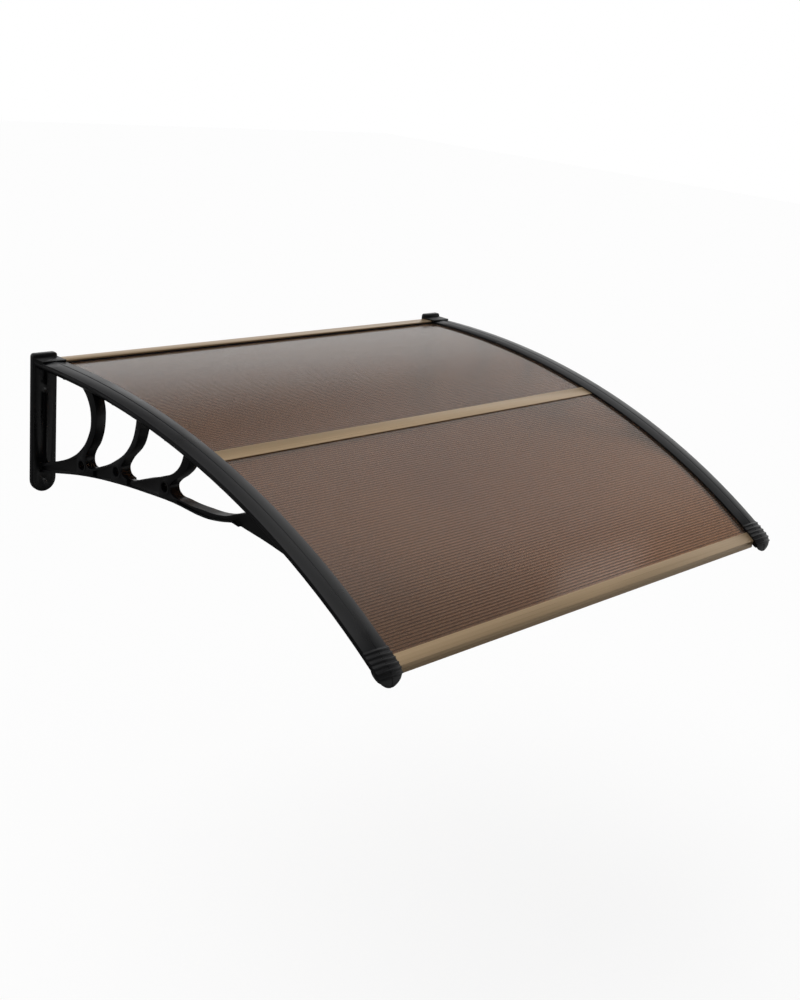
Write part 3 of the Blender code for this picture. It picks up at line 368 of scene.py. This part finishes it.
bronze, tree, shader = new_material("bronze_polycarbonate")
on_sheet = add(tree, 'ShaderNodeUVMap', uv_map="flutes")
split = add(tree, 'ShaderNodeSeparateXYZ', {"Vector": on_sheet.outputs["UV"]})
turns = add(tree, 'ShaderNodeMath', {0: split.outputs["Y"], 1: FLUTE_PITCH}, operation='DIVIDE')
flute = add(tree, 'ShaderNodeMath', {0: turns.outputs[0]}, operation='FRACT')
past_middle = add(tree, 'ShaderNodeMath', {0: flute.outputs[0], 1: 0.5}, operation='SUBTRACT')
from_middle = add(tree, 'ShaderNodeMath', {0: past_middle.outputs[0]}, operation='ABSOLUTE')
rib_line = add(tree, 'ShaderNodeMapRange', {"Value": from_middle.outputs[0], "From Min": RIB_LINE[0],
                                            "From Max": RIB_LINE[1]}, interpolation_type='SMOOTHSTEP')
place = add(tree, 'ShaderNodeTexCoord').outputs["Object"]
cloud = add(tree, 'ShaderNodeTexNoise', {"Vector": place, "Scale": CLOUDS_PER_METRE, "Detail": 3.0})
between = add(tree, 'ShaderNodeValToRGB', {"Fac": cloud.outputs["Fac"]},
              ((0.3, "#bfa38e"), (0.7, "#c5a88f")))
tone = add(tree, 'ShaderNodeMix', {"Factor": rib_line.outputs["Result"], "A": between.outputs["Color"],
                                   "B": linear(RIB_COLOUR)}, data_type='RGBA')
tree.links.new(tone.outputs["Result"], shader.inputs["Base Color"])
shader.inputs["Roughness"].default_value = 0.1
shader.inputs["Transmission Weight"].default_value = 0.92
shader.inputs["IOR"].default_value = 1.58
print("made", bronze.name)

# %% [markdown]
# ## Rubber and zinc
# The gasket, the seat seals and the wall seal are extruded EPDM rubber, dull black with a slightly
# powdery bloom. The screws are zinc-plated steel, a pale metal whose gloss is soft and slightly
# uneven because the plating grows in small crystals. Each is one noise: the bloom in patches of about
# 17 mm, the crystals in patches of 2.5 mm, coarser than the real ones so that they show.

# %% Make the rubber
BLOOMS_PER_METRE = 60.0

rubber, tree, shader = new_material("black_epdm_rubber")
place = add(tree, 'ShaderNodeTexCoord').outputs["Object"]
bloom = add(tree, 'ShaderNodeTexNoise', {"Vector": place, "Scale": BLOOMS_PER_METRE, "Detail": 5.0})
tone = add(tree, 'ShaderNodeValToRGB', {"Fac": bloom.outputs["Fac"]}, ((0.3, "#0a0a0a"), (0.75, "#161616")))
tree.links.new(tone.outputs["Color"], shader.inputs["Base Color"])
shader.inputs["Roughness"].default_value = 0.75
print("made", rubber.name)

# %% Make the zinc plating
CRYSTALS_PER_METRE = 400.0

zinc, tree, shader = new_material("zinc_plated_steel")
place = add(tree, 'ShaderNodeTexCoord').outputs["Object"]
patina = add(tree, 'ShaderNodeTexNoise', {"Vector": place, "Scale": CRYSTALS_PER_METRE, "Detail": 4.0})
tone = add(tree, 'ShaderNodeValToRGB', {"Fac": patina.outputs["Fac"]}, ((0.3, "#b9bcbf"), (0.7, "#d4d5d3")))
gloss = add(tree, 'ShaderNodeMapRange', {"Value": patina.outputs["Fac"], "To Min": 0.22, "To Max": 0.42})
tree.links.new(tone.outputs["Color"], shader.inputs["Base Color"])
tree.links.new(gloss.outputs["Result"], shader.inputs["Roughness"])
shader.inputs["Metallic"].default_value = 1.0
print("made", zinc.name)

# %% [markdown]
# ## Fine edges on moulded and extruded pieces
# A solid with knife edges catches no light along them, and a real piece always does: a mould and a
# die leave a small radius. A bevel modifier could round them, but the solid's triangles are loose,
# so it finds no edge that two of them share. So each solid is copied, its triangles are merged and
# its flat areas joined into whole faces, and then its sharp edges are bevelled. The copy stands for
# the solid, which stays for the physics.

# %% Helpers for the copies
FLAT = math.radians(0.4)     # faces that differ by less are one flat face
SHARP = math.radians(28)     # an edge between faces that differ by more is sharp
MERGE = 0.02 * MM            # points closer than this are one point


def merged_copy(node):
    """A solid's shape with its loose triangles merged and its flat areas joined."""
    shape = bmesh.new()
    shape.from_mesh(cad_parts[node].data)
    bmesh.ops.remove_doubles(shape, verts=shape.verts, dist=MERGE)
    bmesh.ops.dissolve_limit(shape, angle_limit=FLAT, verts=shape.verts, edges=shape.edges)
    return shape


def round_edges(shape, edges, radius):
    """Round the given edges with two faces each."""
    bmesh.ops.bevel(shape, geom=edges, offset=radius, offset_type='OFFSET', segments=2, profile=0.5,
                    affect='EDGES', clamp_overlap=True, material=-1)


def publish(name, shape, finish, node):
    """Make a shape a piece that rides on the body and stands for its solid; returns its face count."""
    mesh = bpy.data.meshes.new(name)
    shape.to_mesh(mesh)
    shape.free()
    mesh.materials.clear()
    mesh.materials.append(finish)
    mesh.shade_smooth()
    mesh.set_sharp_from_angle(angle=SHARP)
    piece = bpy.data.objects.new(name, mesh)
    bpy.context.scene.collection.objects.link(piece)
    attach(piece, BODY)
    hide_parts(node)
    return len(mesh.polygons)


# %% Round the mouldings and the rails
MOULDED_EDGES = {"bracket": 0.5 * MM, "cover_strip": 0.4 * MM, "nose_cap": 0.5 * MM}
RAIL_EDGE = 0.3 * MM


def edged(node, radius, finish):
    """A copy of a solid with its sharp edges rounded."""
    shape = merged_copy(node)
    sharp = [e for e in shape.edges if e.is_manifold and e.calc_face_angle() > SHARP]
    round_edges(shape, sharp, radius)
    faces = publish(node + "_finished", shape, finish, node)
    print(node, "sharp edges", len(sharp), "faces", faces)


for side in ("left", "right"):
    for moulding, radius in MOULDED_EDGES.items():
        edged(side + "_" + moulding, radius, abs_black)
for rail in ("rear_rail", "middle_rail", "front_rail"):
    edged(rail, RAIL_EDGE, champagne)

# %% [markdown]
# ## The screws
# The screws are pan-head, with a rounded rim and a cross recess for the driver. The recess could be
# cut with a cross-shaped solid, but insets make it with fewer faces. The head's face has twelve
# corners. An inset gives a second ring of twelve, every third corner of that ring is drawn in, which
# makes a cross of it, and a last inset with a negative depth sinks the cross.

# %% Finish the screws
HEAD_CORNERS = 12
HEAD_ROUND = 0.4 * MM
RECESS_RIM = 0.9 * MM        # from the head's edge to the ends of the cross
RECESS_DEPTH = 1.0 * MM
RECESS_TAPER = 0.08 * MM
CORNER_DRAW = 0.64           # of the way to the middle


def finished_screw(node):
    """A copy of a screw with a rounded head and a cross recess."""
    shape = merged_copy(node)
    ends = [face for face in shape.faces if len(face.verts) == HEAD_CORNERS]
    head = max(ends, key=lambda face: face.calc_area())
    rim = list(head.edges)
    bmesh.ops.inset_individual(shape, faces=[head], thickness=RECESS_RIM)
    middle = head.calc_center_median()
    for vert in list(head.verts)[2::3]:
        vert.co = vert.co.lerp(middle, CORNER_DRAW)
    bmesh.ops.inset_individual(shape, faces=[head], thickness=RECESS_TAPER, depth=-RECESS_DEPTH)
    round_edges(shape, rim, HEAD_ROUND)
    return publish(node + "_finished", shape, zinc, node)


screw_faces = [finished_screw(name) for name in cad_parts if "screw" in name]
print("screws finished:", len(screw_faces), "faces each:", max(screw_faces))

# %% [markdown]
# ## The bow
# The sheets follow the bow of the brackets. An arc of a circle would be simpler, but the real bow
# tightens towards the nose. So its slope is given, from the wall to the nose, as a blend of a steady
# and a growing part, and the line is added up from it in small steps. Past both ends it runs on
# straight.

# %% Add up the bow
CREASE_START = 38.7 * MM     # where the strips' crease starts, out from the wall
CREASE_HEIGHT = 9.0 * MM     # and how high above the origin
BOW_LENGTH = 886.3 * MM
SLOPE_AT_WALL = math.radians(-1.36)
SLOPE_AT_NOSE = math.radians(33.3)
BOW_TIGHTENING = 0.22        # the growing part's share of the slope
BOW_STEPS = 1500


def bow_slope(distance):
    """How steeply the bow falls at a distance along it."""
    t = min(max(distance / BOW_LENGTH, 0.0), 1.0)
    turned = t * (1 - BOW_TIGHTENING) + t * t * BOW_TIGHTENING
    return SLOPE_AT_WALL + (SLOPE_AT_NOSE - SLOPE_AT_WALL) * turned


bow_line = [(-CREASE_START, CREASE_HEIGHT)]
for i in range(BOW_STEPS):
    angle = bow_slope(BOW_LENGTH * (i + 0.5) / BOW_STEPS)
    y, z = bow_line[-1]
    bow_line.append((y - math.cos(angle) * BOW_LENGTH / BOW_STEPS,
                     z - math.sin(angle) * BOW_LENGTH / BOW_STEPS))


def bow(distance, above):
    """Y and Z at a distance along the bow and a height square to it."""
    angle = bow_slope(distance)
    held = min(max(distance, 0.0), BOW_LENGTH)
    past = distance - held
    t = held / BOW_LENGTH * BOW_STEPS
    i = min(int(t), BOW_STEPS - 1)
    (y0, z0), (y1, z1) = bow_line[i], bow_line[i + 1]
    y = y0 + (y1 - y0) * (t - i) - past * math.cos(angle) - math.sin(angle) * above
    z = z0 + (z1 - z0) * (t - i) - past * math.sin(angle) + math.cos(angle) * above
    return y, z


print("bow ends at", [round(v, 4) for v in bow_line[-1]])

# %% [markdown]
# ## The sheets
# A real twin-wall sheet is extruded: two skins, with a rib each 5.2 mm. It could be two thin plates
# with ribs set between them, but it is easiest to make flat and in one piece. A grid gives one cell
# for each flute, insetting every cell leaves the skins and ribs, and an extrusion draws that end view
# out to the sheet's width. The outer faces are then dimpled a little between ribs, as cooling leaves
# them, and the whole is bent to the bow.

# %% Make the twin-wall sheets
SHEET_TOP = -6.4 * MM        # from the crease to the sheet's upper face
SHEET_THICKNESS = 5.0 * MM
SHEET_SKIN = 0.6 * MM
SHEET_DIMPLE = 0.1 * MM      # how far a skin sinks in the middle of a flute
SHEET_ENDS = {"rear_panel": (-24.2 * MM, 431.4 * MM), "front_panel": (434.6 * MM, 881.5 * MM)}
DIMPLE_CUTS = 3              # they let each flute's skins curve
LINELESS = 0.5               # a flute's middle, where no rib line is drawn


def end_view(start, end, count):
    """The sheet's end view, lying flat, with its skins, its ribs and an open cell for each flute."""
    shape = bmesh.new()
    bmesh.ops.create_grid(shape, x_segments=count, y_segments=1, size=0.5)
    for vert in shape.verts:
        vert.co.x = start + (vert.co.x + 0.5) * (end - start)
        vert.co.y = (vert.co.y - 0.5) * SHEET_THICKNESS
    cells = shape.faces[:]
    bmesh.ops.inset_individual(shape, faces=cells, thickness=SHEET_SKIN)
    bmesh.ops.delete(shape, geom=cells, context='FACES')
    lengthwise = [e for e in shape.edges if abs(e.verts[0].co.y - e.verts[1].co.y) < MERGE]
    bmesh.ops.subdivide_edges(shape, edges=lengthwise, cuts=DIMPLE_CUTS, use_grid_fill=True)
    return shape


def twin_wall(node, start, end):
    """A bowed twin-wall sheet that stands for a solid, between two distances along the bow."""
    low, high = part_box(node)
    count = round((end - start) / FLUTE_PITCH)
    pitch = (end - start) / count
    shape = end_view(start, end, count)
    grown = bmesh.ops.extrude_face_region(shape, geom=shape.faces[:])
    moved = [v for v in grown["geom"] if isinstance(v, bmesh.types.BMVert)]
    bmesh.ops.translate(shape, verts=moved, vec=(0.0, 0.0, high[0] - low[0]))
    flutes = shape.loops.layers.uv.new("flutes")
    for face in shape.faces:
        on_top = all(abs(vert.co.y) < MERGE for vert in face.verts)
        for loop in face.loops:
            lines_at = (loop.vert.co.x - start) / pitch if on_top else LINELESS
            loop[flutes].uv = (loop.vert.co.z, lines_at * FLUTE_PITCH)
    for vert in shape.verts:
        distance, height = vert.co.x, vert.co.y
        swell = math.sin(math.pi * (distance - start) / pitch) ** 2
        if abs(height) < MERGE:
            height -= SHEET_DIMPLE * swell
        elif abs(height + SHEET_THICKNESS) < MERGE:
            height += SHEET_DIMPLE * swell
        vert.co = (low[0] + vert.co.z, *bow(distance, SHEET_TOP + height))
    bmesh.ops.recalc_face_normals(shape, faces=shape.faces)
    faces = publish(node + "_fluted", shape, bronze, node)
    print(node, "flutes", count, "faces", faces)


for node, ends in SHEET_ENDS.items():
    twin_wall(node, *ends)

# %% [markdown]
# ## Seals and gasket
# The rubber strips lie pressed between other pieces, so only thin lines of them show. Their solids
# have the right shape as they are and take the rubber directly.

# %% Give the seals and the gasket their rubber
sealing = [node for name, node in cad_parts.items() if "seal" in name or "gasket" in name]
for node in sealing:
    node.data.materials.clear()
    node.data.materials.append(rubber)
print("rubber strips:", len(sealing))
